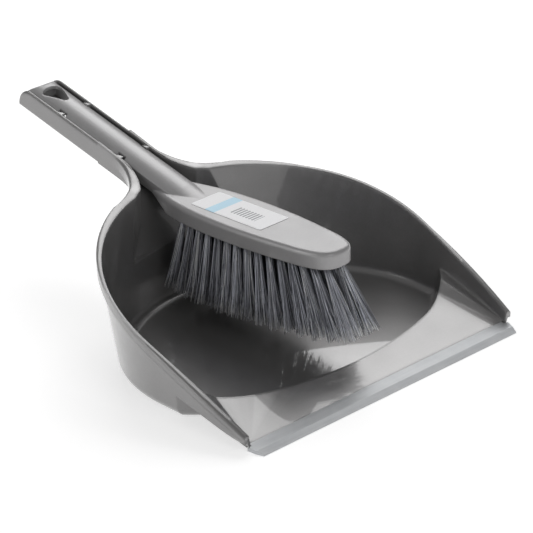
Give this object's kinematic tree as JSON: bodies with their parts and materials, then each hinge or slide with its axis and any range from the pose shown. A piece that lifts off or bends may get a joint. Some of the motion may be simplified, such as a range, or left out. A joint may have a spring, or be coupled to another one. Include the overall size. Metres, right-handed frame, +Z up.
{
  "type": "dustpan and brush set",
  "caption": "Dustpan with a ramped mouth, soft lip, deep bowl and channel handle, and a hand brush whose hollow handle parks over the channel.",
  "frame": {"origin": "middle of the bounding box in plan, on the floor it stands on", "axes": "+X to the right seen from behind the handle, +Y from the lip to the handle, +Z up"},
  "size_m": [0.2468, 0.327, 0.1097],
  "materials": {
    "pan_plastic": "glossy metallic grey injection-moulded plastic",
    "lip_plastic": "satin grey soft plastic",
    "brush_plastic": "satin silver-grey plastic",
    "label_film": "satin white label with a pale blue band",
    "filament": "grey-blue nylon filaments with lighter tips",
    "anchor_wire": "drawn flat wire"
  },
  "bodies": {
    "pan": {"pan_moulding": "pan_plastic", "pan_lip": "lip_plastic"},
    "brush": {"brush_body": "brush_plastic", "brush_label": "label_film", "tuft_anchors": "anchor_wire", "tuft_inner_left_01": "filament", "tuft_inner_left_02": "filament", "tuft_inner_left_03": "filament", "tuft_inner_left_04": "filament", "tuft_inner_left_05": "filament", "tuft_inner_left_06": "filament", "tuft_inner_left_07": "filament", "tuft_inner_left_08": "filament", "tuft_inner_left_09": "filament", "tuft_inner_left_10": "filament", "tuft_inner_left_11": "filament", "tuft_inner_right_01": "filament", "tuft_inner_right_02": "filament", "tuft_inner_right_03": "filament", "tuft_inner_right_04": "filament", "tuft_inner_right_05": "filament", "tuft_inner_right_06": "filament", "tuft_inner_right_07": "filament", "tuft_inner_right_08": "filament", "tuft_inner_right_09": "filament", "tuft_inner_right_10": "filament", "tuft_inner_right_11": "filament", "tuft_outer_left_01": "filament", "tuft_outer_left_02": "filament", "tuft_outer_left_03": "filament", "tuft_outer_left_04": "filament", "tuft_outer_left_05": "filament", "tuft_outer_left_06": "filament", "tuft_outer_left_07": "filament", "tuft_outer_left_08": "filament", "tuft_outer_left_09": "filament", "tuft_outer_left_10": "filament", "tuft_outer_left_11": "filament", "tuft_outer_left_12": "filament", "tuft_outer_left_13": "filament", "tuft_outer_left_14": "filament", "tuft_outer_left_15": "filament", "tuft_outer_right_01": "filament", "tuft_outer_right_02": "filament", "tuft_outer_right_03": "filament", "tuft_outer_right_04": "filament", "tuft_outer_right_05": "filament", "tuft_outer_right_06": "filament", "tuft_outer_right_07": "filament", "tuft_outer_right_08": "filament", "tuft_outer_right_09": "filament", "tuft_outer_right_10": "filament", "tuft_outer_right_11": "filament", "tuft_outer_right_12": "filament", "tuft_outer_right_13": "filament", "tuft_outer_right_14": "filament", "tuft_outer_right_15": "filament"}
  },
  "joints": [
    {"name": "brush_lift", "type": "slide", "parent": "pan", "child": "brush", "axis": [0, 0, 1], "range_m": [0, 0.12]}
  ]
}
